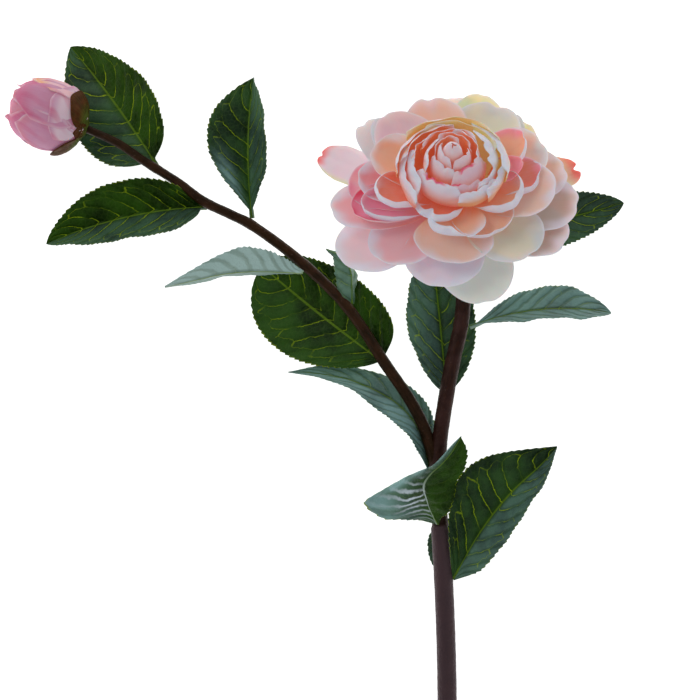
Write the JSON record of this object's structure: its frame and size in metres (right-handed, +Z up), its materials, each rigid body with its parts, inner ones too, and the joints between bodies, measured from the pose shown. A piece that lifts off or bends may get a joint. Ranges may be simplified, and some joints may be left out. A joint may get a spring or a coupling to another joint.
{
  "type": "camellia flower",
  "caption": "Cut camellia spray lying on a surface: a double flower and a closed bud on a forked woody stem with broad toothed leaves.",
  "frame": {"origin": "under the middle of the lying spray, on the surface it rests on", "axes": "+Z up from the surface, +Y along the stem towards the flower, +X to the right with the bud on the left"},
  "size_m": [0.2727, 0.3439, 0.0701],
  "materials": {
    "bark": "matt purplish brown bark with fine bumps",
    "leaf": "leathery dark green with a soft sheen and yellow-green veins",
    "petal_outer": "matt translucent white and pale pink",
    "petal_inner": "matt translucent peach with pale rims",
    "bud_petal": "matt mauve pink",
    "calyx": "dull brownish green"
  },
  "bodies": {
    "root": {"bud_heart": "bud_petal", "bud_petal_1": "bud_petal", "bud_petal_2": "bud_petal", "bud_petal_3": "bud_petal", "bud_petal_4": "bud_petal", "bud_sepal_1": "calyx", "bud_sepal_2": "calyx", "bud_sepal_3": "calyx", "flower_calyx": "calyx", "flower_heart": "petal_inner", "leaf_branch_back": "leaf", "leaf_branch_left": "leaf", "leaf_branch_small": "leaf", "leaf_by_bud_back": "leaf", "leaf_by_bud_left": "leaf", "leaf_by_bud_top": "leaf", "leaf_flower_back": "leaf", "leaf_flower_right": "leaf", "leaf_fork_back": "leaf", "leaf_fork_left": "leaf", "leaf_stem_back": "leaf", "leaf_stem_folded": "leaf", "leaf_stem_right": "leaf", "petal_01": "petal_outer", "petal_02": "petal_outer", "petal_03": "petal_outer", "petal_04": "petal_outer", "petal_05": "petal_outer", "petal_06": "petal_outer", "petal_07": "petal_outer", "petal_08": "petal_outer", "petal_09": "petal_outer", "petal_10": "petal_outer", "petal_11": "petal_outer", "petal_12": "petal_outer", "petal_13": "petal_outer", "petal_14": "petal_outer", "petal_15": "petal_outer", "petal_16": "petal_outer", "petal_17": "petal_outer", "petal_18": "petal_outer", "petal_19": "petal_inner", "petal_20": "petal_inner", "petal_21": "petal_inner", "petal_22": "petal_inner", "petal_23": "petal_inner", "petal_24": "petal_inner", "petal_25": "petal_inner", "petal_26": "petal_inner", "petal_27": "petal_inner", "petal_28": "petal_inner", "petal_29": "petal_inner", "petal_30": "petal_inner", "petal_31": "petal_inner", "petal_32": "petal_inner", "petal_33": "petal_inner", "petal_34": "petal_inner", "petal_35": "petal_inner", "petal_36": "petal_inner", "stem": "bark"}
  },
  "joints": []
}
